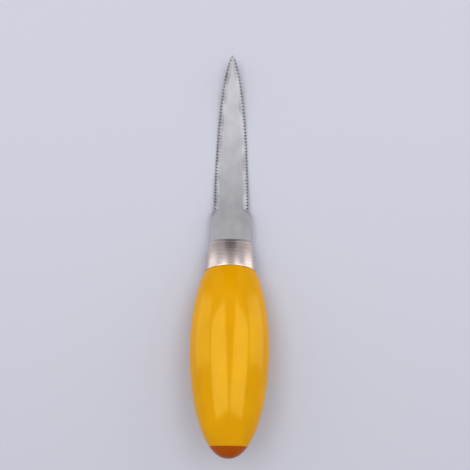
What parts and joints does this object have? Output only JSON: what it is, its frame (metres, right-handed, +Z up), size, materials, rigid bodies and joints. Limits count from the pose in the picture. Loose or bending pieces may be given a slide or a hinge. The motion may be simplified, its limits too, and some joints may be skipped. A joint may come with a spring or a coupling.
{
  "type": "grapefruit knife",
  "caption": "Knife for loosening grapefruit: a slim steel blade that curves upwards with small teeth along both edges, a steel bolster and an oval plastic handle with a butt cap.",
  "frame": {"origin": "on the table, under the middle of the knife's bounding box, with the knife lying on the belly of its handle and the underside of its curved blade", "axes": "+Y along the knife towards the tip, +Z up from the table, +X across the knife"},
  "size_m": [0.0318, 0.1668, 0.0247],
  "materials": {
    "blade_steel": "ground along the edges, softly polished between",
    "bolster_steel": "satin",
    "handle_plastic": "glossy yellow orange",
    "cap_plastic": "glossy deep burnt orange"
  },
  "bodies": {
    "root": {"blade": "blade_steel", "bolster": "bolster_steel", "handle": "handle_plastic", "end_cap": "cap_plastic"}
  },
  "joints": []
}
